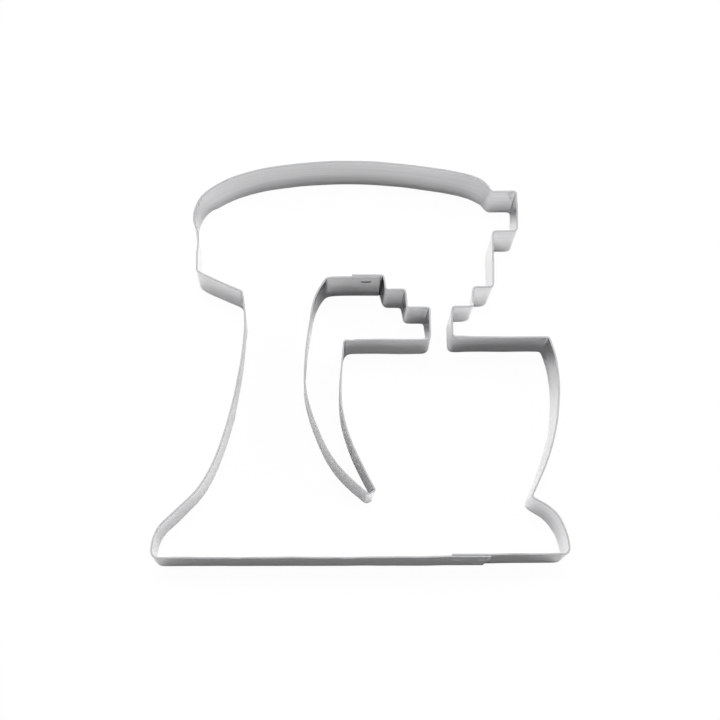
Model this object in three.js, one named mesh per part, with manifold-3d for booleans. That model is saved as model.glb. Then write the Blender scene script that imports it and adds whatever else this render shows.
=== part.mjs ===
// Strip-metal cookie cutter set in the outline of a stand mixer: a large outer cutter, and a smaller inner
// cutter that stands inside it and cuts the gap between the mixer's column and bowl.
// Units are millimetres. Seen from above, +X points to the mixer's front and +Y from its base to its head.
// +Z is the way the strip stands, and the lower rims, on Z = 0, are the cutting edges.

import * as THREE from 'three';
import { mergeVertices } from 'three/addons/utils/BufferGeometryUtils.js';
import Module from 'manifold-3d';

// Strip stock
const STRIP_HEIGHT = 22;
const STRIP_THICKNESS = 0.4;

// Folds, by their inside radius
const FOLD_RADIUS = 0.5;
const STEP_FOLD_RADIUS = 0.7;
const BASE_FOLD_RADIUS = 1.5;
const HEAD_BACK_FOLD_RADIUS = 5;
const INNER_BACK_FOLD_RADIUS = 0.8;
const TIP_FOLD_RADIUS = 0.3;

// Overlapped, spot-welded seams
const LAP_GAP = 0.25;
const WELD_DIAMETER = 2.6;
const WELD_CLEARANCE = 0.1;
const WELD_DISH = 0.08;
const OUTER_WELD_PITCH = 3;
const OUTER_WELD_MARGIN = 0.45;
const OUTER_WELD_DROP = 7.6;
const OUTER_WELD_RISE = 7.3;
const OUTER_SEAM_END_X = 31.2;
const OUTER_SEAM_SLANT = 0.8;
const INNER_LAP = 7;
const INNER_SEAM_CLEARANCE = 0.6;
const INNER_WELD_DROP = 4.8;
const INNER_WELD_RISE = 6.6;

// Size over all, on the outer faces
const OVERALL_WIDTH = 100;
const OVERALL_LENGTH = 96.9;

// Bowl: levels are heights above the base line
const WAIST_X = 41.1;
const WAIST_LEVEL = 14.75;
const BOWL_FRONT_X = 48.05;
const BOWL_RIM_FRONT_X = 45.7;
const FRONT_RIM_LEVEL = 53.65;
const BOWL_BACK_X = -4.45;
const BOWL_RIM_BACK_X = -3.75;
const BACK_RIM_LEVEL = 52.65;

// Beater shaft between the two cutters, and the steps from it up to the head
const SHAFT_X = 19.8;
const SHAFT_WIDTH = 5.5;
const FRONT_LOWER_STEP_RUN = 5.35;
const FRONT_UPPER_STEP_RUN = 4.45;
const BACK_LOWER_STEP_RUN = 5.75;
const BACK_UPPER_STEP_RUN = 5.25;
const LOWER_STEP_LEVEL = 60.8;
const UPPER_STEP_LEVEL = 65.05;

// Head and its nose
const NOSE_LENGTH = 6.1;
const NOSE_BOTTOM_LEVEL = 78.9;
const NOSE_TOP_LEVEL = 89.45;
const HEAD_BACK_X = -39.65;
const HEAD_BACK_TOP_LEVEL = 78.75;
const HEAD_BACK_BOTTOM_LEVEL = 69.4;
const HEAD_UNDERSIDE_LEVEL = 68;
const HEAD_UNDERSIDE_BACK_X = -8.3;

// Column
const COLUMN_BACK_X = -28.6;
const COLUMN_WIDTH = 15.2;
const NECK_LEVEL = 64.6;

// Blunt tip of the inner cutter, where column and bowl meet
const TIP_X = 1.7;
const TIP_LEVEL = 15.15;
const TIP_RUN = 2.1;
const TIP_RISE = 1;

// Curved walls, as [x, y] points between their two corners
// The foot, from the front end of the base line
const FOOT_CURVE = [[0, 2.2], [-0.5, 5.4], [-2.5, 10], [-5, 12.55]];
// The bowl's front side, from its widest place, by level
const BOWL_FRONT_CURVE = [[-3.55, 22.25], [-0.9, 31.45], [0, 41.45], [-0.75, 48.45]];
// The bowl's back side, from its widest place, by level
const BOWL_BACK_CURVE = [[5.65, 21.05], [3.25, 25.95], [1.05, 32.15], [0, 38.45], [0.05, 44.95]];
// The top of the head, by its distance below the crown
const HEAD_CURVE = [
  [30.6, -5.2], [27.3, -3.55], [17.3, -1.6], [7.5, -0.4], [-3, 0], [-14.4, -0.55],
  [-26.5, -2.6], [-34, -5.45], [-38.6, -8.95], [-40.45, -13.5],
];
// The column's back, from its edge at mid height, by level
const COLUMN_BACK_CURVE = [[0.6, 57.5], [0, 49.5], [-1.5, 40.45], [-4.1, 30.75], [-6.7, 23.4], [-10, 17.4]];
// The flare at the column's foot, from the back end of the base line
const FLARE_CURVE = [[5.7, 11.6], [1.8, 7.75], [0.3, 4.45], [0, 2.1]];
// The column's front, from its edge at mid height, by level
const COLUMN_FRONT_CURVE = [
  [2.5, 63.55], [0.9, 55.95], [0, 48.45], [-0.05, 41.45], [1.2, 35.65],
  [3.8, 28.85], [6.8, 23.45], [11, 18.75],
];

// Fineness of the faceted surfaces
const CURVE_STEP = 1.6;
const FOLD_STEPS = 5;
const WELD_SIDES = 20;
const CUT_MARGIN = 1;

// Sizes that follow from the ones above
const lapOffset = STRIP_THICKNESS + LAP_GAP;
const weldRadius = WELD_DIAMETER / 2;
const baseEndX = OVERALL_WIDTH / 2;
const shaftFrontX = SHAFT_X + SHAFT_WIDTH / 2;
const shaftBackX = SHAFT_X - SHAFT_WIDTH / 2;
const lowerStepFrontX = shaftFrontX + FRONT_LOWER_STEP_RUN;
const headFrontX = lowerStepFrontX + FRONT_UPPER_STEP_RUN;
const noseFrontX = headFrontX + NOSE_LENGTH;
const lowerStepBackX = shaftBackX - BACK_LOWER_STEP_RUN;
const upperStepBackX = lowerStepBackX - BACK_UPPER_STEP_RUN;
const columnFrontX = COLUMN_BACK_X + COLUMN_WIDTH;
const outerLap = 2 * (OUTER_WELD_PITCH + weldRadius + OUTER_WELD_MARGIN);
const outerSeamX = OUTER_SEAM_END_X - outerLap / 2;
const innerSeamFrontX = upperStepBackX - STRIP_THICKNESS - INNER_SEAM_CLEARANCE;
const innerSeamX = innerSeamFrontX - INNER_LAP / 2;

const wasm = await Module();
wasm.setup();

const steel = new THREE.MeshStandardMaterial({ color: 0xd9dadb, roughness: 0.28, metalness: 1 });
const weldedSteel = new THREE.MeshStandardMaterial({ color: 0xb9babc, roughness: 0.45, metalness: 1 });

function point(x, y) {
  return new THREE.Vector3(x, y, 0);
}

function shifted(points, x, y) {
  return points.map(([dx, dy]) => point(x + dx, y + dy));
}

// One wall of a cutter, up to the fold at its end
function straight(x, y, fold) {
  return { through: [], end: point(x, y), fold };
}

function curved(through, x, y, fold) {
  return { through, end: point(x, y), fold };
}

function wallCurve(start, wall) {
  if (wall.through.length === 0) {
    return new THREE.LineCurve3(start, wall.end);
  }
  return new THREE.CatmullRomCurve3([start, ...wall.through, wall.end], false, 'centripetal');
}

// How far a fold reaches back along the walls that it joins, on the face that the route follows
function foldSetback(before, after, insideRadius) {
  const from = before.getTangentAt(1);
  const to = after.getTangentAt(0);
  const turnsLeft = from.x * to.y - from.y * to.x > 0;
  const radius = turnsLeft ? insideRadius + STRIP_THICKNESS : insideRadius;
  return radius * Math.tan(from.angleTo(to) / 2);
}

// Points along a strip's outer face, counter-clockwise, with its folds rounded
function routePoints(start, walls) {
  const curves = walls.map((wall, i) => wallCurve(i === 0 ? start : walls[i - 1].end, wall));
  const setbacks = walls.map((wall, i) => {
    return i === walls.length - 1 ? 0 : foldSetback(curves[i], curves[i + 1], wall.fold);
  });
  const points = [];
  curves.forEach((curve, i) => {
    const length = curve.getLength();
    const first = i === 0 ? 0 : setbacks[i - 1] / length;
    const last = 1 - setbacks[i] / length;
    const steps = walls[i].through.length === 0 ? 1 : Math.ceil(length / CURVE_STEP);
    if (i > 0) {
      const fold = new THREE.QuadraticBezierCurve3(points.at(-1), walls[i - 1].end, curve.getPointAt(first));
      points.push(...fold.getPoints(FOLD_STEPS).slice(1, -1));
    }
    for (let step = 0; step <= steps; step += 1) {
      points.push(curve.getPointAt(THREE.MathUtils.lerp(first, last, step / steps)));
    }
  });
  return points;
}

// The strip's other face, one thickness to the left of the route
function offsetLeft(points, distance) {
  const normals = points.slice(1).map((next, i) => {
    const along = next.clone().sub(points[i]).normalize();
    return point(-along.y, along.x);
  });
  return points.map((place, i) => {
    const before = normals[Math.max(i - 1, 0)];
    const after = normals[Math.min(i, normals.length - 1)];
    const mitre = before.clone().add(after).normalize();
    return place.clone().addScaledVector(mitre, distance / mitre.dot(after));
  });
}

function stripGeometry(start, walls) {
  const outerFace = routePoints(start, walls);
  const innerFace = offsetLeft(outerFace, STRIP_THICKNESS).reverse();
  const section = new THREE.Shape([...outerFace, ...innerFace].map(({ x, y }) => new THREE.Vector2(x, y)));
  return new THREE.ExtrudeGeometry(section, { depth: STRIP_HEIGHT, bevelEnabled: false });
}

function toSolid(geometry) {
  const bare = geometry.clone();
  bare.deleteAttribute('normal');
  bare.deleteAttribute('uv');
  const merged = mergeVertices(bare);
  const mesh = new wasm.Mesh({
    numProp: 3,
    vertProperties: new Float32Array(merged.attributes.position.array),
    triVerts: new Uint32Array(merged.index.array),
  });
  return new wasm.Manifold(mesh);
}

function toGeometry(solid) {
  const mesh = solid.getMesh();
  const geometry = new THREE.BufferGeometry();
  geometry.setAttribute('position', new THREE.BufferAttribute(mesh.vertProperties, 3));
  geometry.setIndex(new THREE.BufferAttribute(mesh.triVerts, 1));
  geometry.computeVertexNormals();
  return geometry;
}

// A seam's place: its middle along X, and the Y of the face that lies outside
function weldPlaces(seam) {
  return seam.welds.map((weld) => ({
    name: weld.name,
    place: new THREE.Vector3(seam.x + weld.dx, seam.outsideY + seam.inward * seam.depth / 2, weld.z),
  }));
}

// Round holes through both layers, one for each weld
function weldHoles(seam) {
  const length = seam.depth + 2 * CUT_MARGIN;
  return weldPlaces(seam).map(({ place }) => {
    const radius = weldRadius + WELD_CLEARANCE;
    const hole = new THREE.CylinderGeometry(radius, radius, length, WELD_SIDES);
    return hole.translate(place.x, place.y, place.z);
  });
}

// A spot weld: a round plug through both layers, slightly dished at its two ends
function weldGeometry(depth) {
  const end = depth / 2;
  const profile = [
    new THREE.Vector2(0, WELD_DISH - end),
    new THREE.Vector2(weldRadius, -end),
    new THREE.Vector2(weldRadius, end),
    new THREE.Vector2(0, end - WELD_DISH),
  ];
  return new THREE.LatheGeometry(profile, WELD_SIDES);
}

function weldMeshes(seam) {
  return weldPlaces(seam).map(({ name, place }) => {
    const weld = new THREE.Mesh(weldGeometry(seam.depth), weldedSteel);
    weld.name = name;
    weld.position.copy(place);
    return weld;
  });
}

function bandMesh(name, geometry, cuts) {
  const solid = cuts.reduce((body, cut) => body.subtract(toSolid(cut)), toSolid(geometry));
  const band = new THREE.Mesh(toGeometry(solid), steel);
  band.name = name;
  return band;
}

// The wedge that slants the outside end of the outer seam, which reaches furthest at the upper rim
function seamEndCut() {
  const wedge = new THREE.Shape([
    new THREE.Vector2(OUTER_SEAM_END_X - OUTER_SEAM_SLANT, 0),
    new THREE.Vector2(OUTER_SEAM_END_X, STRIP_HEIGHT),
    new THREE.Vector2(OUTER_SEAM_END_X + CUT_MARGIN, STRIP_HEIGHT),
    new THREE.Vector2(OUTER_SEAM_END_X + CUT_MARGIN, -CUT_MARGIN),
    new THREE.Vector2(OUTER_SEAM_END_X - OUTER_SEAM_SLANT, -CUT_MARGIN),
  ]);
  const depth = CUT_MARGIN + STRIP_THICKNESS + LAP_GAP / 2;
  const cut = new THREE.ExtrudeGeometry(wedge, { depth, bevelEnabled: false });
  return cut.rotateX(Math.PI / 2).translate(0, STRIP_THICKNESS + LAP_GAP / 2, 0);
}

// The outer cutter, from the inside end of its seam round the front, the head, the column and the base
function makeOuterCutter() {
  const start = point(OUTER_SEAM_END_X - outerLap, lapOffset);
  const columnBack = [
    ...shifted(COLUMN_BACK_CURVE, COLUMN_BACK_X, 0),
    ...shifted(FLARE_CURVE, -baseEndX, 0),
  ];
  const walls = [
    straight(baseEndX, lapOffset, BASE_FOLD_RADIUS),
    curved(shifted(FOOT_CURVE, baseEndX, 0), WAIST_X, WAIST_LEVEL, FOLD_RADIUS),
    curved(shifted(BOWL_FRONT_CURVE, BOWL_FRONT_X, 0), BOWL_RIM_FRONT_X, FRONT_RIM_LEVEL, FOLD_RADIUS),
    straight(shaftFrontX, FRONT_RIM_LEVEL, FOLD_RADIUS),
    straight(shaftFrontX, LOWER_STEP_LEVEL, FOLD_RADIUS),
    straight(lowerStepFrontX, LOWER_STEP_LEVEL, STEP_FOLD_RADIUS),
    straight(lowerStepFrontX, UPPER_STEP_LEVEL, FOLD_RADIUS),
    straight(headFrontX, UPPER_STEP_LEVEL, STEP_FOLD_RADIUS),
    straight(headFrontX, NOSE_BOTTOM_LEVEL, FOLD_RADIUS),
    straight(noseFrontX, NOSE_BOTTOM_LEVEL, FOLD_RADIUS),
    straight(noseFrontX, NOSE_TOP_LEVEL, FOLD_RADIUS),
    straight(headFrontX, NOSE_TOP_LEVEL, FOLD_RADIUS),
    curved(shifted(HEAD_CURVE, 0, OVERALL_LENGTH), HEAD_BACK_X, HEAD_BACK_TOP_LEVEL, HEAD_BACK_FOLD_RADIUS),
    straight(HEAD_BACK_X, HEAD_BACK_BOTTOM_LEVEL, FOLD_RADIUS),
    straight(COLUMN_BACK_X, NECK_LEVEL, FOLD_RADIUS),
    curved(columnBack, -baseEndX, 0, BASE_FOLD_RADIUS),
    straight(OUTER_SEAM_END_X, 0, 0),
  ];
  const upperWeldZ = STRIP_HEIGHT - OUTER_WELD_DROP;
  const seam = {
    x: outerSeamX,
    outsideY: 0,
    inward: 1,
    depth: lapOffset + STRIP_THICKNESS,
    welds: [
      { name: 'outer_spot_weld_left', dx: -OUTER_WELD_PITCH, z: upperWeldZ },
      { name: 'outer_spot_weld_middle', dx: 0, z: OUTER_WELD_RISE },
      { name: 'outer_spot_weld_right', dx: OUTER_WELD_PITCH, z: upperWeldZ },
    ],
  };
  const cutter = new THREE.Group();
  const cuts = [...weldHoles(seam), seamEndCut()];
  cutter.add(bandMesh('outer_band', stripGeometry(start, walls), cuts), ...weldMeshes(seam));
  return cutter;
}

// The inner cutter, from the inside end of its seam round the column, the tip, the bowl and the shaft
function makeInnerCutter() {
  const start = point(innerSeamFrontX, HEAD_UNDERSIDE_LEVEL);
  const rearLayerLevel = HEAD_UNDERSIDE_LEVEL + lapOffset;
  const walls = [
    straight(HEAD_UNDERSIDE_BACK_X, HEAD_UNDERSIDE_LEVEL, INNER_BACK_FOLD_RADIUS),
    curved(shifted(COLUMN_FRONT_CURVE, columnFrontX, 0), TIP_X, TIP_LEVEL, TIP_FOLD_RADIUS),
    straight(TIP_X + TIP_RUN, TIP_LEVEL + TIP_RISE, TIP_FOLD_RADIUS),
    curved(shifted(BOWL_BACK_CURVE, BOWL_BACK_X, 0), BOWL_RIM_BACK_X, BACK_RIM_LEVEL, FOLD_RADIUS),
    straight(shaftBackX, BACK_RIM_LEVEL, FOLD_RADIUS),
    straight(shaftBackX, LOWER_STEP_LEVEL, FOLD_RADIUS),
    straight(lowerStepBackX, LOWER_STEP_LEVEL, FOLD_RADIUS),
    straight(lowerStepBackX, UPPER_STEP_LEVEL, FOLD_RADIUS),
    straight(upperStepBackX, UPPER_STEP_LEVEL, FOLD_RADIUS),
    straight(upperStepBackX, rearLayerLevel, FOLD_RADIUS),
    straight(innerSeamFrontX - INNER_LAP, rearLayerLevel, 0),
  ];
  const seam = {
    x: innerSeamX,
    outsideY: rearLayerLevel,
    inward: -1,
    depth: lapOffset + STRIP_THICKNESS,
    welds: [
      { name: 'inner_spot_weld_upper', dx: 0, z: STRIP_HEIGHT - INNER_WELD_DROP },
      { name: 'inner_spot_weld_lower', dx: 0, z: INNER_WELD_RISE },
    ],
  };
  const cutter = new THREE.Group();
  cutter.add(bandMesh('inner_band', stripGeometry(start, walls), weldHoles(seam)), ...weldMeshes(seam));
  return cutter;
}

// The origin is under the middle of the set
const cutterSet = new THREE.Group();
cutterSet.add(makeOuterCutter(), makeInnerCutter());
cutterSet.position.set(0, -OVERALL_LENGTH / 2, 0);

export default cutterSet;
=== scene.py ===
import math

import bmesh
import bpy
import numpy as np
from mathutils import Matrix, Vector


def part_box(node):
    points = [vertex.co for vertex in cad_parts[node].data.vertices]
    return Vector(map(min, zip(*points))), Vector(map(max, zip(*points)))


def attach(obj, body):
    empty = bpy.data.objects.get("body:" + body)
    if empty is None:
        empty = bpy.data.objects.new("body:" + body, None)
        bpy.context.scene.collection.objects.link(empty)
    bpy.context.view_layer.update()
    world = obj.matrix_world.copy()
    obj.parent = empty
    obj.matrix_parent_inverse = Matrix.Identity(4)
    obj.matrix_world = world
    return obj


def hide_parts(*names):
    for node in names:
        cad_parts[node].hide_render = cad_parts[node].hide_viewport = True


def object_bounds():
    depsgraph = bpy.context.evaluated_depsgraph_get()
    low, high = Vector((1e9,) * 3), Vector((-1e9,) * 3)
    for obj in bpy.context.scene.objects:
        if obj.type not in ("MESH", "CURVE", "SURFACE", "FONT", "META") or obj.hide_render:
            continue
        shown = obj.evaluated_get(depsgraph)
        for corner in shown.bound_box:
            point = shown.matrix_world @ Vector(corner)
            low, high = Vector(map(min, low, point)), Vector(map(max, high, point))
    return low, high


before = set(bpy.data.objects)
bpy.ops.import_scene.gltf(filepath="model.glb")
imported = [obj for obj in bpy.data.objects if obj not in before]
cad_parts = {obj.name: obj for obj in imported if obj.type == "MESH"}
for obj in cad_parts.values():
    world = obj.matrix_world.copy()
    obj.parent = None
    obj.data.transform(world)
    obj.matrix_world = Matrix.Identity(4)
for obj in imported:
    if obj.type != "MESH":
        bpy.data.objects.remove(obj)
cad_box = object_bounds()

# Lengths are in metres and angles in degrees, unless a comment says otherwise
MM = 0.001
WHITE = (1.0, 1.0, 1.0, 1.0)
UNIT_SPAN = (0.0, 1.0)

# Each cutter: its body, its band and the spot welds on the band's lap
CUTTERS = (
    ("outer_cutter", "outer_band", (
        "outer_spot_weld_left",
        "outer_spot_weld_middle",
        "outer_spot_weld_right",
    )),
    ("inner_cutter", "inner_band", (
        "inner_spot_weld_upper",
        "inner_spot_weld_lower",
    )),
)

# Camera, from the viewpoint fitted to the photograph's upright edges
IMAGE_SIZE = 720
FOCAL_PIXELS = 2573.45
UPRIGHTS_MEET_PIXEL = (309.5, 775.0)
CAMERA_PLACE = (-12.215 * MM, -99.217 * MM, 633.111 * MM)
SENSOR_WIDTH_MM = 36.0
CLIP_START = 0.01
CLIP_END = 20.0

# Reading a rim: flatness, decimals of a plan point in mm, turn at the corners of the strip's ends
LEVEL_TOLERANCE = 0.001 * MM
PLAN_DECIMALS = 4
END_CORNER_TURN = 60.0

# Bent strip: folds are sharp at the upper rim and rounder at the lower one
ROUTE_SPACING = 0.05 * MM
RIM_SOFTNESS = 0.16 * MM
FOOT_SOFTNESS = 0.60 * MM
SOFTENING_REACH = 3.0
COARSE_STEP = 1.4 * MM
TURN_STEP = 8.0
FOLD_MARGIN = 0.35 * MM
RIM_ROUNDING = 0.05 * MM
RIM_SUPPORT = 0.06 * MM
END_SUPPORTS = (0.04 * MM, 0.14 * MM, 0.32 * MM)
FACE_ROWS = 17
SHARP_ANGLE = 60.0

# Lap: length over which the slanted ends are drawn, gap between the layers, run-out of the draw
SLANT_REACH = 6.0 * MM
LAP_GAP = 0.03 * MM
LAP_RAMP = 6.0 * MM

# Folds that are rounder still, in mm: band, plan point, softness at the upper and lower rims, reach
LOOSE_FOLDS = (
    ("inner_band", (-8.3, 19.4), 0.16, 1.4, 4.0),
    ("inner_band", (-4.4, 4.4), 0.16, 1.3, 4.0),
    ("inner_band", (17.1, 4.4), 0.45, 1.5, 2.0),
    ("outer_band", (37.9, 31.0), 0.75, 0.9, 2.0),
    ("outer_band", (32.4, 17.0), 0.40, 1.2, 1.6),
    ("outer_band", (27.6, 12.6), 0.16, 1.1, 1.4),
)
LOOSE_FADE = 2.0 * MM

# Leaning walls, in mm: band, plan point at the middle, half the length, shifts of upper and lower rim
LEANS = (
    ("outer_band", (-3.0, 48.4), 33.0, (0.0, 0.0), (0.0, -0.38)),
    ("outer_band", (-39.4, 29.2), 1.2, (0.25, 0.0), (0.0, 0.0)),
    ("outer_band", (-33.0, 18.2), 4.5, (-0.07, -0.16), (-0.13, -0.30)),
    ("outer_band", (-28.8, -1.0), 8.5, (0.0, 0.0), (-0.36, 0.0)),
    ("outer_band", (-35.0, -24.5), 12.0, (0.0, 0.0), (-0.13, 0.05)),
    ("outer_band", (25.0, -48.4), 8.0, (0.0, 0.05), (0.0, 0.0)),
    ("outer_band", (22.0, -48.4), 12.0, (0.0, 0.05), (0.0, 0.0)),
    ("outer_band", (19.0, -48.4), 17.0, (0.0, 0.05), (0.0, 0.0)),
    ("outer_band", (34.0, -47.7), 13.0, (0.0, 0.15), (0.0, 0.0)),
    ("outer_band", (45.4, -37.0), 3.0, (0.0, 0.0), (-0.22, -0.17)),
    ("outer_band", (45.3, -22.5), 4.0, (0.0, 0.0), (-0.20, 0.06)),
    ("outer_band", (36.0, 4.9), 9.0, (0.0, -0.09), (0.0, 0.13)),
    ("outer_band", (35.5, 41.0), 2.0, (0.0, 0.10), (0.0, -0.12)),
    ("outer_band", (37.9, 40.0), 0.6, (-0.10, 0.0), (0.15, 0.0)),
    ("outer_band", (35.3, 31.0), 2.0, (0.0, 0.36), (0.0, -0.11)),
    ("outer_band", (32.4, 24.0), 5.0, (0.14, 0.0), (-0.04, 0.0)),
    ("outer_band", (29.8, 17.0), 1.4, (0.0, 0.40), (0.0, -0.20)),
    ("outer_band", (27.6, 15.0), 0.8, (-0.35, 0.0), (0.0, 0.0)),
    ("outer_band", (25.0, 12.6), 1.4, (0.0, -0.15), (0.0, 0.13)),
    ("outer_band", (22.4, 8.0), 2.5, (-0.13, 0.0), (-0.13, 0.0)),
    ("inner_band", (-0.5, 19.6), 6.0, (0.0, 0.20), (0.0, -0.12)),
    ("inner_band", (1.4, 20.2), 3.8, (0.0, 0.20), (0.0, -0.12)),
    ("inner_band", (5.9, 19.6), 0.5, (0.0, 0.0), (-0.25, 0.0)),
    ("inner_band", (5.9, 17.2), 0.4, (0.25, 0.0), (0.20, 0.0)),
    ("inner_band", (8.7, 16.6), 1.5, (0.0, 0.20), (0.0, -0.17)),
    ("inner_band", (11.4, 16.0), 0.5, (-0.10, 0.0), (-0.25, 0.0)),
    ("inner_band", (11.4, 13.4), 0.4, (0.15, 0.0), (0.15, 0.0)),
    ("inner_band", (14.2, 12.3), 1.8, (0.0, 0.03), (0.0, 0.12)),
    ("inner_band", (17.0, 11.7), 0.6, (0.0, 0.0), (-0.25, 0.0)),
    ("inner_band", (17.0, 4.8), 0.8, (0.0, 0.0), (0.55, 0.0)),
    ("inner_band", (6.0, 4.4), 8.0, (0.0, -0.16), (0.0, 0.18)),
    ("inner_band", (-3.5, 4.4), 1.0, (0.0, -0.20), (0.0, 0.0)),
)
LEAN_FADE = 2.5 * MM

# Hand-bent unevenness: height of the wave, its length along the strip, its phase in radians
WAVES = ((0.030 * MM, 23.0 * MM, 0.4), (0.016 * MM, 8.7 * MM, 2.1))
TWISTS = ((0.045 * MM, 31.0 * MM, 1.3), (0.020 * MM, 12.3 * MM, 0.2))
SETTLED_LENGTH = 12.0 * MM

# Spot welds: a low dome on the front face, towards -Y, and a shallow dish on the back
FRONT = -1.0
BACK = 1.0
MARK_RADIUS = 1.65 * MM
MARK_RAISE = {"outer_band": 0.020 * MM, "inner_band": 0.030 * MM}
MARK_DEPTH = 0.06 * MM
MARK_CUTS = 7
QUAD_CORNERS = 4
BUTTON_RADIUS = 0.92 * MM
BUTTON_PROUD = 0.006 * MM
BUTTON_SHARES = (0.0, 0.25, 0.50, 0.72, 0.88, 0.96)
BUTTON_SIDES = 48

# Finding the faces of a lap: reach from its middle, within a layer and from a face, and least facing out
LAP_REACH = 1.0 * MM
LAYER_REACH = 0.3 * MM
FACE_REACH = 0.2 * MM
FACING_SHARE = 0.95

# Heat marks: a round halo, and a crescent below each weld, partly heat tint and partly painted shade
# under the weld's dome, of a strength that each weld has
HALO_RADII = (1.2 * MM, 2.4 * MM)
BURN_SHADE_RADIUS = 1.28 * MM
BURN_SHADE_SHIFT = 1.70 * MM
BURN_SHADE_EDGE = 0.45 * MM
BURN_SHADE_STRENGTHS = {
    "inner_spot_weld_upper": 0.85,
    "inner_spot_weld_lower": 0.40,
    "outer_spot_weld_left": 0.20,
    "outer_spot_weld_middle": 0.15,
    "outer_spot_weld_right": 0.20,
}
BURN_SHADE_BEHIND = 0.25

# Steel: how metallic it is, and its colours
STEEL_METALLIC = 0.90
STEEL_BRIGHT = (0.68, 0.68, 0.69, 1.0)
STEEL_STREAK = (0.50, 0.50, 0.51, 1.0)
STEEL_EDGE = (0.40, 0.40, 0.41, 1.0)
# Cut colour: partly bare cut metal, partly painted shade at the lap's step
STEEL_CUT_SHADED = (0.20, 0.20, 0.205, 1.0)
# Burnt colour: partly heat tint, partly painted shade below the welds
STEEL_BURNT_SHADED = (0.09, 0.088, 0.086, 1.0)
WELD_LIGHT = (0.60, 0.60, 0.61, 1.0)
WELD_DARK = (0.42, 0.42, 0.43, 1.0)

# Noises: repeats per metre, on the strip along it, across it and in depth, then octaves of detail
ROLLED_MARKS = ((4.0, 280.0, 1.0), 2.0)
BROAD_MARKS = ((16.0, 950.0, 1.0), 3.0)
FINE_MARKS = ((40.0, 2800.0, 1.0), 3.0)
SMUDGES = ((160.0, 160.0, 160.0), 4.0)
WELD_GRAIN = ((2600.0, 2600.0, 2600.0), 5.0)

# Rolled finish: weights of the marks, and spans of a noise that give a share of colour or a roughness
ROLLED_WEIGHT = 0.25
BROAD_WEIGHT = 0.35
FINE_WEIGHT = 0.40
STREAK_SPAN = (0.40, 0.60)
RIDGE_SPAN = (0.17, 0.43)
RIDGE_ROUGHNESS = (0.03, 0.09)
SMUDGE_SPAN = (0.45, 0.75)
SMUDGE_ROUGHNESS = (0.0, 0.05)
STRIP_BUMP_STRENGTH = 0.04
BUMP_DISTANCE = 0.02 * MM

# Wear and heat: depths from a rim where wear starts and is full, tint of a halo, added roughness
RIM_WEAR_DEPTHS = (0.10 * MM, 0.03 * MM)
HALO_TINT = 0.2
HALO_ROUGHNESS = (0.0, 0.10)
DULL_ROUGHNESS = (0.0, 0.60)

# Weld finish
GRAIN_COLOUR_SPAN = (0.35, 0.65)
GRAIN_ROUGHNESS_SPAN = (0.3, 0.7)
GRAIN_ROUGHNESS = (0.12, 0.24)
WELD_BUMP_STRENGTH = 0.10

# Stage, and the strength of the studio around it for diffuse light and for mirrored rays
FLOOR_SIZE = 4.0
FLOOR_DROP = 0.01 * MM
FLOOR_COLOUR = (0.96, 0.96, 0.96, 1.0)
FLOOR_WHITE_SHARE = 0.97
AMBIENT = 0.02
AMBIENT_MIRRORED = 0.20

# Lamps, all aimed at the origin: place, width, depth, power in watts
LAMPS = {
    "overhead_box": ((0.0, 0.13, 1.0), 0.15, 0.13, 4.0),
    "back_right_box": ((0.433, 0.250, 0.866), 0.40, 0.40, 3.55),
    "back_left_box": ((-0.429, 0.335, 0.839), 0.40, 0.40, 2.95),
    "left_fill": ((-0.906, 0.0, 0.423), 0.40, 0.40, 3.5),
    "right_fill": ((0.707, 0.0, 0.707), 0.40, 0.40, 1.75),
}


def smooth_step(value):
    value = np.clip(value, 0.0, 1.0)
    return value * value * (3.0 - 2.0 * value)


# Plan route of a band, read from the rim of its solid

def rim_edges(mesh, points, upper):
    level = points[:, 2].max() if upper else points[:, 2].min()
    flat = np.abs(points[:, 2] - level) < LEVEL_TOLERANCE
    names = [tuple(np.round(point[:2] / MM, PLAN_DECIMALS)) for point in points]
    edges = set()
    for triangle in mesh.loop_triangles:
        corners = list(triangle.vertices)
        if all(flat[corner] for corner in corners):
            for first, second in zip(corners, corners[1:] + corners[:1]):
                edges.add((names[first], names[second]))
    return edges


def rim_ring(node, upper):
    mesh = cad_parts[node].data
    mesh.calc_loop_triangles()
    points = np.array([vertex.co for vertex in mesh.vertices])
    edges = rim_edges(mesh, points, upper)
    after = {first: second for first, second in edges if (second, first) not in edges}
    start = min(after)
    ring = [start]
    while after[ring[-1]] != start:
        ring.append(after[ring[-1]])
    ring = np.array(ring) * MM
    return ring if upper else ring[::-1]


def ring_turns(ring):
    before = ring - np.roll(ring, 1, axis=0)
    after = np.roll(ring, -1, axis=0) - ring
    cross = before[:, 0] * after[:, 1] - before[:, 1] * after[:, 0]
    dot = (before * after).sum(axis=1)
    return np.degrees(np.arctan2(cross, dot))


def signed_area(points):
    following = np.roll(points, -1, axis=0)
    return 0.5 * np.sum(points[:, 0] * following[:, 1] - points[:, 1] * following[:, 0])


def outer_side(ring):
    corners = np.flatnonzero(np.abs(ring_turns(ring)) > END_CORNER_TURN)
    sides = []
    for first, last in zip(corners, np.roll(corners, -1)):
        count = (last - first) % len(ring)
        sides.append(ring[(first + np.arange(count + 1)) % len(ring)])
    lengths = [np.linalg.norm(np.diff(side, axis=0), axis=1).sum() for side in sides]
    order = np.argsort(lengths)
    thickness = lengths[order[0]]
    long_sides = [sides[index] for index in order[-2:]]
    route = max(long_sides, key=signed_area)
    return route, thickness


def lengths_along(points):
    steps = np.linalg.norm(np.diff(points, axis=0), axis=1)
    return np.concatenate([[0.0], np.cumsum(steps)])


def at_lengths(points, along, places):
    return np.column_stack([np.interp(places, along, points[:, axis]) for axis in (0, 1)])


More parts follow.
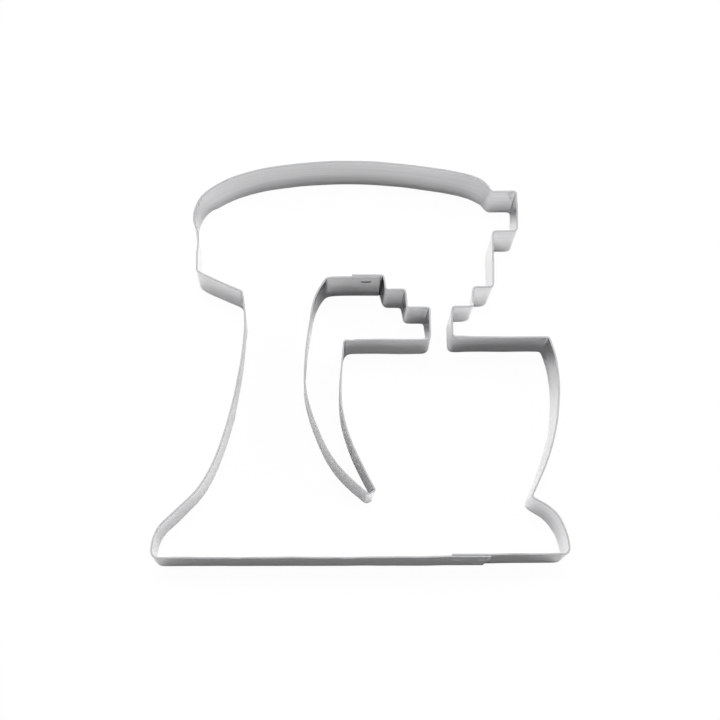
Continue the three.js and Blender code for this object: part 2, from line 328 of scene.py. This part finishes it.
# Route with its folds softened; its ends run straight on, so they stay in place
def softened(points, softness):
    reach = int(round(SOFTENING_REACH * softness / ROUTE_SPACING))
    shifts = np.arange(-reach, reach + 1) * ROUTE_SPACING
    weights = np.exp(-0.5 * (shifts / softness) ** 2)
    weights /= weights.sum()
    head = 2.0 * points[0] - points[reach:0:-1]
    tail = 2.0 * points[-1] - points[-2:-reach - 2:-1]
    longer = np.vstack([head, points, tail])
    return np.column_stack([np.convolve(longer[:, axis], weights, "valid") for axis in (0, 1)])


def directions(points):
    steps = np.gradient(points, axis=0)
    return steps / np.linalg.norm(steps, axis=1)[:, None]


# Largest value within reach of each place
def widest_near(values, reach):
    result = values.copy()
    for shift in range(1, reach + 1):
        result[shift:] = np.maximum(result[shift:], values[:-shift])
        result[:-shift] = np.maximum(result[:-shift], values[shift:])
    return result


# 1 within reach of the place nearest to a plan point, fading to 0 beyond it
def stretch_weight(points, along, middle, reach, fade):
    nearest = along[np.argmin(np.linalg.norm(points - np.array(middle) * MM, axis=1))]
    return smooth_step((reach + fade - np.abs(along - nearest)) / fade)[:, None]


def folded_routes(node, route):
    along = lengths_along(route)
    places = np.linspace(0.0, along[-1], int(along[-1] / ROUTE_SPACING))
    even = at_lengths(route, along, places)
    sharp = softened(even, RIM_SOFTNESS)
    loose = softened(even, FOOT_SOFTNESS)
    for band, middle, upper_softness, lower_softness, reach in LOOSE_FOLDS:
        if band == node:
            weight = stretch_weight(even, places, middle, reach * MM, LOOSE_FADE)
            sharp = sharp + (softened(even, upper_softness * MM) - sharp) * weight
            loose = loose + (softened(even, lower_softness * MM) - loose) * weight
    return sharp, loose, places


def bend_along(points, along):
    heading = directions(points)
    angles = np.degrees(np.unwrap(np.arctan2(heading[:, 1], heading[:, 0])))
    bend = np.abs(np.gradient(angles, along))
    return widest_near(bend, int(FOLD_MARGIN / ROUTE_SPACING))


# Places along the strip, closer together where it bends and at its ends
def stations(sharp, loose, along):
    bend = np.maximum(bend_along(sharp, along), bend_along(loose, along))
    crowding = np.maximum(1.0 / COARSE_STEP, bend / TURN_STEP)
    between = 0.5 * (crowding[1:] + crowding[:-1])
    counted = np.concatenate([[0.0], np.cumsum(between * np.diff(along))])
    wanted = np.linspace(0.0, counted[-1], int(math.ceil(counted[-1])) + 1)
    chosen = np.interp(wanted, counted, along)
    ends = np.array(END_SUPPORTS)
    return np.sort(np.concatenate([chosen, ends, along[-1] - ends]))


# Strip solid: a rounded section that is carried along the route

def strip_profile(thickness, height):
    half = thickness / 2.0
    rounding = RIM_ROUNDING
    chamfer = rounding * (1.0 - math.sqrt(0.5))
    inner_low = rounding + RIM_SUPPORT
    rows = np.linspace(inner_low, height - inner_low, FACE_ROWS + 1)
    face = np.concatenate([[rounding], rows, [height - rounding]])
    up = [(-half, level) for level in face]
    top = [
        (-half + chamfer, height - chamfer),
        (-half + rounding, height),
        (half - rounding, height),
        (half - chamfer, height - chamfer),
    ]
    down = [(half, level) for level in face[::-1]]
    low = [
        (half - chamfer, chamfer),
        (half - rounding, 0.0),
        (-half + rounding, 0.0),
        (-half + chamfer, chamfer),
    ]
    return np.array(up + top + down + low)


def wave_sum(waves, along):
    return sum(size * np.sin(2.0 * math.pi * along / length + phase) for size, length, phase in waves)


# How far the lower rim's ends lie beyond the upper rim's, along the strip
def end_shifts(node, upper_route):
    lower_route, _ = outer_side(rim_ring(node, False))
    first = upper_route[1] - upper_route[0]
    last = upper_route[-1] - upper_route[-2]
    start = np.dot(lower_route[0] - upper_route[0], first / np.linalg.norm(first))
    end = np.dot(lower_route[-1] - upper_route[-1], last / np.linalg.norm(last))
    return start, end


# Slant of the strip's two ends, which fades out along the strip
def end_slide(node, route, along):
    start_shift, end_shift = end_shifts(node, route)
    start_weight = np.clip(1.0 - along / SLANT_REACH, 0.0, 1.0)
    end_weight = np.clip(1.0 - (along[-1] - along) / SLANT_REACH, 0.0, 1.0)
    return (start_weight * start_shift + end_weight * end_shift)[:, None]


# Draw of the lap's two layers towards each other, down to the gap between them
def lap_draw(path, along, thickness):
    heading = directions(path)[0]
    inward = np.array([-heading[1], heading[0]])
    apart = path[-1] - path[0]
    overlap = abs(np.dot(apart, heading))
    offset = np.dot(apart, inward)
    slack = math.copysign(abs(offset) - thickness - LAP_GAP, offset) / 2.0
    start = smooth_step((overlap + LAP_RAMP - along) / LAP_RAMP)
    end = smooth_step((overlap + LAP_RAMP - (along[-1] - along)) / LAP_RAMP)
    return (slack * (start - end))[:, None]


def leans_of(node, path, along):
    upper = np.zeros_like(path)
    lower = np.zeros_like(path)
    for band, middle, reach, upper_shift, lower_shift in LEANS:
        if band == node:
            weight = stretch_weight(path, along, middle, reach * MM, LEAN_FADE)
            upper += weight * np.array(upper_shift) * MM
            lower += weight * np.array(lower_shift) * MM
    return upper, lower


def strip_points(node):
    low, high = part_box(node)
    route, thickness = outer_side(rim_ring(node, True))
    height = high[2] - low[2]
    sharp, loose, along = folded_routes(node, route)
    chosen = stations(sharp, loose, along)
    settled = smooth_step(np.minimum(along, along[-1] - along) / SETTLED_LENGTH - 1.0)
    wave = (settled * wave_sum(WAVES, along))[:, None] + lap_draw(sharp, along, thickness)
    twist = (settled * wave_sum(TWISTS, along))[:, None]
    slide = end_slide(node, route, along)
    upper_lean, lower_lean = leans_of(node, sharp, along)
    profile = strip_profile(thickness, height)
    columns = []
    for across, level in profile:
        share = level / height
        path = sharp + (loose - sharp) * (1.0 - share)
        heading = directions(path)
        inward = np.column_stack([-heading[:, 1], heading[:, 0]])
        plan = path + inward * (thickness / 2.0 + across + wave + twist * (share - 0.5))
        plan = plan + heading * slide * (1.0 - share)
        plan = plan + upper_lean * share + lower_lean * (1.0 - share)
        placed = np.clip(at_lengths(plan, along, chosen), cad_box[0][:2], cad_box[1][:2])
        columns.append(np.column_stack([placed, np.full(len(chosen), low[2] + level)]))
    return np.stack(columns, axis=1), chosen, profile


# Bare cut metal at the end of the strip that lies in front, darkened further as painted shade where that
# end steps onto the layer behind
def cut_end_and_step_shade(points, along):
    starts_in_front = points[0, 0, 1] < points[-1, 0, 1]
    from_front_end = along if starts_in_front else along[-1] - along
    return 1.0 - smooth_step(from_front_end / END_SUPPORTS[-1])


def strip_mesh(points, along, profile):
    station_count, ring_count = points.shape[:2]
    girth = lengths_along(np.vstack([profile, profile[:1]]))
    mesh = bmesh.new()
    layer = mesh.loops.layers.uv.new("strip")
    # Per-vertex share of the cut end's colour, which includes painted shade at the lap's step
    end_shade_layer = mesh.verts.layers.float.new("cut_end_shade")
    grid = [[mesh.verts.new(point) for point in row] for row in points]
    for row, amount in zip(grid, cut_end_and_step_shade(points, along)):
        for vertex in row:
            vertex[end_shade_layer] = amount
    for row in range(station_count - 1):
        for column in range(ring_count):
            following = (column + 1) % ring_count
            corners = (
                (grid[row][column], along[row], girth[column]),
                (grid[row][following], along[row], girth[column + 1]),
                (grid[row + 1][following], along[row + 1], girth[column + 1]),
                (grid[row + 1][column], along[row + 1], girth[column]),
            )
            face = mesh.faces.new([corner[0] for corner in corners])
            for loop, corner in zip(face.loops, corners):
                loop[layer].uv = (corner[1], corner[2])
    mesh.faces.new(grid[0][::-1])
    mesh.faces.new(grid[-1])
    bmesh.ops.recalc_face_normals(mesh, faces=mesh.faces)
    return mesh


# Marks that the welding tips leave on both outer faces of a lap

def weld_centre(node):
    low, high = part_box(node)
    return (Vector(low) + Vector(high)) / 2.0


def mark_offset(radius, side, node):
    height = MARK_RAISE[node] if side == FRONT else -MARK_DEPTH
    return height * max(0.0, 1.0 - (radius / MARK_RADIUS) ** 2)


def lap_faces(mesh, centre, side):
    reach = MARK_RADIUS + COARSE_STEP
    found = []
    for face in mesh.faces:
        middle = face.calc_center_median()
        faces_out = face.normal.y * side > FACING_SHARE
        is_near = math.hypot(middle.x - centre.x, middle.z - centre.z) < reach
        if faces_out and is_near and abs(middle.y - centre.y) < LAP_REACH:
            found.append(face)
    outermost = max(face.calc_center_median().y * side for face in found)
    return [face for face in found if face.calc_center_median().y * side > outermost - LAYER_REACH]


# Presses a weld's mark into one face of the lap, and returns the face's slope and level
def press_mark(mesh, centre, side, node):
    faces = lap_faces(mesh, centre, side)
    corners = np.array([vertex.co for face in faces for vertex in face.verts])
    slope, level = np.polyfit(corners[:, 2] - centre.z, corners[:, 1], 1)
    edges = list(dict.fromkeys(edge for face in faces for edge in face.edges))
    bmesh.ops.subdivide_edges(mesh, edges=edges, cuts=MARK_CUTS, use_grid_fill=True)
    for vertex in mesh.verts:
        radius = math.hypot(vertex.co.x - centre.x, vertex.co.z - centre.z)
        if radius < MARK_RADIUS and abs(vertex.co.y - level) < FACE_REACH:
            vertex.co.y += side * mark_offset(radius, side, node)
    return slope, level


# Faces with more than four corners are cut into fans of triangles
def fan_many_sided(mesh):
    # The cut end's share, with its painted shade, is carried to the new centre vertices
    end_shade_layer = mesh.verts.layers.float["cut_end_shade"]
    faces = [face for face in mesh.faces if len(face.verts) > QUAD_CORNERS]
    for vertex in bmesh.ops.poke(mesh, faces=faces)["verts"]:
        around = [edge.other_vert(vertex)[end_shade_layer] for edge in vertex.link_edges]
        vertex[end_shade_layer] = sum(around) / len(around)


def halo_share(radius):
    inner, outer = HALO_RADII
    return float(1.0 - smooth_step((radius - inner) / (outer - inner)))


# Crescent of heat tint and painted shade below a weld: inside a circle round the weld, and outside an
# equal circle above it
def burn_and_shade_share(across, rise):
    inside = (BURN_SHADE_RADIUS - math.hypot(across, rise)) / BURN_SHADE_EDGE
    beneath = (math.hypot(across, rise - BURN_SHADE_SHIFT) - BURN_SHADE_RADIUS) / BURN_SHADE_EDGE
    return float(smooth_step(0.5 + inside) * smooth_step(0.5 + beneath))


# Per vertex: the halo, and the crescent of heat tint with painted shade below each weld
def set_heat_marks_and_weld_shade(data, welds):
    halo = data.attributes.new("weld_halo", "FLOAT", "POINT")
    burn_shade = data.attributes.new("weld_burn_shade", "FLOAT", "POINT")
    for weld in welds:
        centre = weld_centre(weld)
        for vertex in data.vertices:
            across = vertex.co.x - centre.x
            rise = vertex.co.z - centre.z
            radius = math.hypot(across, rise)
            if radius < HALO_RADII[1] and abs(vertex.co.y - centre.y) < LAP_REACH:
                place = vertex.index
                halo.data[place].value = max(halo.data[place].value, halo_share(radius))
                strength = BURN_SHADE_STRENGTHS[weld] if vertex.co.y < centre.y else BURN_SHADE_STRENGTHS[weld] * BURN_SHADE_BEHIND
                burnt_shaded = strength * burn_and_shade_share(across, rise)
                burn_shade.data[place].value = max(burn_shade.data[place].value, burnt_shaded)


def add_piece(name, mesh, material, node, body):
    data = bpy.data.meshes.new(name)
    mesh.to_mesh(data)
    mesh.free()
    data.materials.append(material)
    piece = bpy.data.objects.new(name, data)
    bpy.context.scene.collection.objects.link(piece)
    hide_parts(node)
    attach(piece, body)
    return piece


def make_band(node, body, welds, material):
    points, along, profile = strip_points(node)
    mesh = strip_mesh(points, along, profile)
    centres = [weld_centre(weld) for weld in welds]
    seats = [[press_mark(mesh, centre, side, node) for side in (FRONT, BACK)] for centre in centres]
    fan_many_sided(mesh)
    for face in mesh.faces:
        face.smooth = True
    band = add_piece(node + "_strip", mesh, material, node, body)
    band.data.set_sharp_from_angle(angle=math.radians(SHARP_ANGLE))
    set_heat_marks_and_weld_shade(band.data, welds)
    return seats


# Weld buttons, which fill the marks from face to face

def button_profile(side, band):
    radii = [share * BUTTON_RADIUS for share in BUTTON_SHARES]
    rises = [mark_offset(radius, side, band) + BUTTON_PROUD for radius in radii]
    sunk = mark_offset(BUTTON_RADIUS, side, band) - BUTTON_PROUD
    return list(zip(radii, rises)) + [(BUTTON_RADIUS, sunk)]


def button_ring(mesh, centre, radius, rise, side, seat):
    slope, level = seat
    ring = []
    for step in range(BUTTON_SIDES if radius > 0.0 else 1):
        angle = 2.0 * math.pi * step / BUTTON_SIDES
        up = radius * math.sin(angle)
        depth = level + slope * up + side * rise
        ring.append(mesh.verts.new((centre.x + radius * math.cos(angle), depth, centre.z + up)))
    return ring


def make_weld(node, body, band, seats, material):
    centre = weld_centre(node)
    mesh = bmesh.new()
    front_seat, back_seat = seats
    rings = []
    for radius, rise in button_profile(FRONT, band):
        rings.append(button_ring(mesh, centre, radius, rise, FRONT, front_seat))
    for radius, rise in reversed(button_profile(BACK, band)):
        rings.append(button_ring(mesh, centre, radius, rise, BACK, back_seat))
    for first, second in zip(rings, rings[1:]):
        for step in range(BUTTON_SIDES):
            following = (step + 1) % BUTTON_SIDES
            corners = [first[step % len(first)], first[following % len(first)]]
            corners += [second[following % len(second)], second[step % len(second)]]
            mesh.faces.new(list(dict.fromkeys(corners))).smooth = True
    bmesh.ops.recalc_face_normals(mesh, faces=mesh.faces)
    button = add_piece(node + "_button", mesh, material, node, body)
    set_heat_marks_and_weld_shade(button.data, [node])


# Nodes that the materials and the studio share

def new_material(name):
    material = bpy.data.materials.new(name)
    material.use_nodes = True
    return material, material.node_tree


def set_inputs(tree, sockets, values):
    for socket, value in zip(sockets, values):
        if isinstance(value, bpy.types.NodeSocket):
            tree.links.new(value, socket)
        else:
            socket.default_value = value


def add_noise(tree, vector, marks):
    repeats, detail = marks
    mapping = tree.nodes.new("ShaderNodeMapping")
    mapping.inputs["Scale"].default_value = repeats
    tree.links.new(vector, mapping.inputs["Vector"])
    noise = tree.nodes.new("ShaderNodeTexNoise")
    noise.inputs["Scale"].default_value = 1.0
    noise.inputs["Detail"].default_value = detail
    tree.links.new(mapping.outputs["Vector"], noise.inputs["Vector"])
    return noise.outputs["Fac"]


def add_range(tree, value, source, target=UNIT_SPAN, smooth=False):
    remap = tree.nodes.new("ShaderNodeMapRange")
    remap.interpolation_type = "SMOOTHSTEP" if smooth else "LINEAR"
    names = ("Value", "From Min", "From Max", "To Min", "To Max")
    set_inputs(tree, [remap.inputs[name] for name in names], (value, *source, *target))
    return remap.outputs["Result"]


def add_math(tree, operation, *values):
    node = tree.nodes.new("ShaderNodeMath")
    node.operation = operation
    set_inputs(tree, node.inputs, values)
    return node.outputs["Value"]


def add_sum(tree, first, *others):
    total = first
    for value in others:
        total = add_math(tree, "ADD", total, value)
    return total


def add_mix(tree, share, first, second):
    mix = tree.nodes.new("ShaderNodeMix")
    mix.data_type = "RGBA"
    tree.links.new(share, mix.inputs["Factor"])
    set_inputs(tree, [socket for socket in mix.inputs if socket.type == "RGBA"], (first, second))
    return next(socket for socket in mix.outputs if socket.type == "RGBA")


def add_attribute(tree, name):
    node = tree.nodes.new("ShaderNodeAttribute")
    node.attribute_name = name
    return node.outputs["Fac"]


def add_place(tree):
    return tree.nodes.new("ShaderNodeTexCoord").outputs["Object"]


def add_bump(tree, height, strength):
    bump = tree.nodes.new("ShaderNodeBump")
    bump.inputs["Strength"].default_value = strength
    bump.inputs["Distance"].default_value = BUMP_DISTANCE
    tree.links.new(height, bump.inputs["Height"])
    return bump.outputs["Normal"]


def finish_steel(tree, colour, rough, normal):
    shader = tree.nodes["Principled BSDF"]
    shader.inputs["Metallic"].default_value = STEEL_METALLIC
    tree.links.new(colour, shader.inputs["Base Color"])
    tree.links.new(rough, shader.inputs["Roughness"])
    tree.links.new(normal, shader.inputs["Normal"])


# Strip steel: rolling marks along the strip, smudges, worn rims, heat marks with painted shade below the
# welds, and cut ends with painted shade at the lap's step

def rolling_marks(tree):
    route = tree.nodes.new("ShaderNodeUVMap")
    route.uv_map = "strip"
    layers = ((ROLLED_MARKS, ROLLED_WEIGHT), (BROAD_MARKS, BROAD_WEIGHT), (FINE_MARKS, FINE_WEIGHT))
    rolled, broad, fine = [
        add_math(tree, "MULTIPLY", add_noise(tree, route.outputs["UV"], marks), weight)
        for marks, weight in layers
    ]
    ridge = add_sum(tree, rolled, broad)
    streak = add_sum(tree, ridge, fine)
    return ridge, streak


# Worn lines along the upper and lower rims
def rim_wear(tree, place, height):
    axes = tree.nodes.new("ShaderNodeSeparateXYZ")
    tree.links.new(place, axes.inputs["Vector"])
    from_middle = add_math(tree, "SUBTRACT", axes.outputs["Z"], height / 2.0)
    from_middle = add_math(tree, "ABSOLUTE", from_middle)
    limits = [height / 2.0 - depth for depth in RIM_WEAR_DEPTHS]
    return add_range(tree, from_middle, limits, smooth=True)


def strip_colour(tree, streak, rim, halo, burn_shade, cut_end_shade):
    colour = add_mix(tree, add_range(tree, streak, STREAK_SPAN), STEEL_BRIGHT, STEEL_STREAK)
    colour = add_mix(tree, rim, colour, STEEL_EDGE)
    colour = add_mix(tree, add_math(tree, "MULTIPLY", halo, HALO_TINT), colour, WELD_DARK)
    # Crescent below the welds: heat tint with painted shade
    colour = add_mix(tree, burn_shade, colour, STEEL_BURNT_SHADED)
    # Cut end: bare metal with painted shade at the lap's step
    return add_mix(tree, cut_end_shade, colour, STEEL_CUT_SHADED)


def strip_roughness(tree, ridge, smudge, rim, halo, burn_shade, cut_end_shade):
    dull = add_math(tree, "MAXIMUM", rim, add_math(tree, "MAXIMUM", burn_shade, cut_end_shade))
    return add_sum(
        tree,
        add_range(tree, ridge, RIDGE_SPAN, RIDGE_ROUGHNESS),
        add_range(tree, smudge, SMUDGE_SPAN, SMUDGE_ROUGHNESS),
        add_range(tree, halo, UNIT_SPAN, HALO_ROUGHNESS),
        add_range(tree, dull, UNIT_SPAN, DULL_ROUGHNESS),
    )


def strip_material(height):
    material, tree = new_material("strip_steel")
    place = add_place(tree)
    ridge, streak = rolling_marks(tree)
    smudge = add_noise(tree, place, SMUDGES)
    rim = rim_wear(tree, place, height)
    halo, burn_shade, cut_end_shade = [add_attribute(tree, name) for name in ("weld_halo", "weld_burn_shade", "cut_end_shade")]
    colour = strip_colour(tree, streak, rim, halo, burn_shade, cut_end_shade)
    rough = strip_roughness(tree, ridge, smudge, rim, halo, burn_shade, cut_end_shade)
    finish_steel(tree, colour, rough, add_bump(tree, ridge, STRIP_BUMP_STRENGTH))
    return material


# Weld steel: dull grain, darkened where the crescent of heat tint and painted shade below the weld
# crosses it

def weld_material():
    material, tree = new_material("weld_steel")
    grain = add_noise(tree, add_place(tree), WELD_GRAIN)
    burn_shade = add_attribute(tree, "weld_burn_shade")
    colour = add_mix(tree, add_range(tree, grain, GRAIN_COLOUR_SPAN), WELD_LIGHT, WELD_DARK)
    # Crescent below the weld: heat tint with painted shade
    colour = add_mix(tree, burn_shade, colour, STEEL_BURNT_SHADED)
    rough = add_sum(
        tree,
        add_range(tree, grain, GRAIN_ROUGHNESS_SPAN, GRAIN_ROUGHNESS),
        add_range(tree, burn_shade, UNIT_SPAN, DULL_ROUGHNESS),
    )
    finish_steel(tree, colour, rough, add_bump(tree, grain, WELD_BUMP_STRENGTH))
    return material


# Floor: pale paper, which the camera sees as white with a faint shadow

def floor_material():
    material, tree = new_material("paper_floor")
    tree.nodes.remove(tree.nodes["Principled BSDF"])
    paper = tree.nodes.new("ShaderNodeBsdfDiffuse")
    paper.inputs["Color"].default_value = FLOOR_COLOUR
    white = tree.nodes.new("ShaderNodeEmission")
    white.inputs["Color"].default_value = WHITE
    white.inputs["Strength"].default_value = 1.0
    path = tree.nodes.new("ShaderNodeLightPath")
    share = add_math(tree, "MULTIPLY", path.outputs["Is Camera Ray"], FLOOR_WHITE_SHARE)
    mix = tree.nodes.new("ShaderNodeMixShader")
    set_inputs(tree, mix.inputs, (share, paper.outputs["BSDF"], white.outputs["Emission"]))
    tree.links.new(mix.outputs["Shader"], tree.nodes["Material Output"].inputs["Surface"])
    return material


def make_floor():
    half = FLOOR_SIZE / 2.0
    level = -FLOOR_DROP
    corners = [(-half, -half, level), (half, -half, level), (half, half, level), (-half, half, level)]
    data = bpy.data.meshes.new("floor")
    data.from_pydata(corners, [], [(0, 1, 2, 3)])
    floor = bpy.data.objects.new("floor", data)
    bpy.context.scene.collection.objects.link(floor)
    data.materials.append(floor_material())


# Studio: white to the camera, dimmer in the steel's reflections, and little light of its own

def make_world():
    world = bpy.data.worlds.new("studio")
    bpy.context.scene.world = world
    world.use_nodes = True
    tree = world.node_tree
    background = tree.nodes["Background"]
    background.inputs["Color"].default_value = WHITE
    path = tree.nodes.new("ShaderNodeLightPath")
    seen = add_range(tree, path.outputs["Is Camera Ray"], UNIT_SPAN, (AMBIENT, 1.0))
    more_mirrored = AMBIENT_MIRRORED - AMBIENT
    mirrored = add_math(tree, "MULTIPLY", path.outputs["Is Glossy Ray"], more_mirrored)
    tree.links.new(add_sum(tree, seen, mirrored), background.inputs["Strength"])


def make_lamp(name, place, width, depth, power):
    lamp = bpy.data.lights.new(name, "AREA")
    lamp.shape = "RECTANGLE"
    lamp.size = width
    lamp.size_y = depth
    lamp.energy = power
    holder = bpy.data.objects.new(name, lamp)
    holder.location = place
    holder.rotation_mode = "QUATERNION"
    holder.rotation_quaternion = (-Vector(place)).to_track_quat("-Z", "Y")
    bpy.context.scene.collection.objects.link(holder)


def make_camera():
    middle = IMAGE_SIZE / 2.0
    down = Vector((
        UPRIGHTS_MEET_PIXEL[0] - middle,
        middle - UPRIGHTS_MEET_PIXEL[1],
        -FOCAL_PIXELS,
    )).normalized()
    upright = -down
    sideways = Vector((upright.z, 0.0, -upright.x)).normalized()
    forward = upright.cross(sideways)
    data = bpy.data.cameras.new("camera")
    data.sensor_width = SENSOR_WIDTH_MM
    data.lens = FOCAL_PIXELS / IMAGE_SIZE * SENSOR_WIDTH_MM
    data.clip_start = CLIP_START
    data.clip_end = CLIP_END
    camera = bpy.data.objects.new("camera", data)
    turn = Matrix((sideways, forward, upright)).to_4x4()
    camera.matrix_world = Matrix.Translation(CAMERA_PLACE) @ turn
    bpy.context.scene.collection.objects.link(camera)
    bpy.context.scene.camera = camera


def make_cutters():
    low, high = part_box("outer_band")
    strip_steel = strip_material(high[2] - low[2])
    weld_steel = weld_material()
    for body, band, welds in CUTTERS:
        band_seats = make_band(band, body, welds, strip_steel)
        for weld, seats in zip(welds, band_seats):
            make_weld(weld, body, band, seats, weld_steel)


bpy.context.scene.view_settings.view_transform = "Standard"
make_camera()
make_floor()
make_world()
for lamp_name, lamp_values in LAMPS.items():
    make_lamp(lamp_name, *lamp_values)
make_cutters()
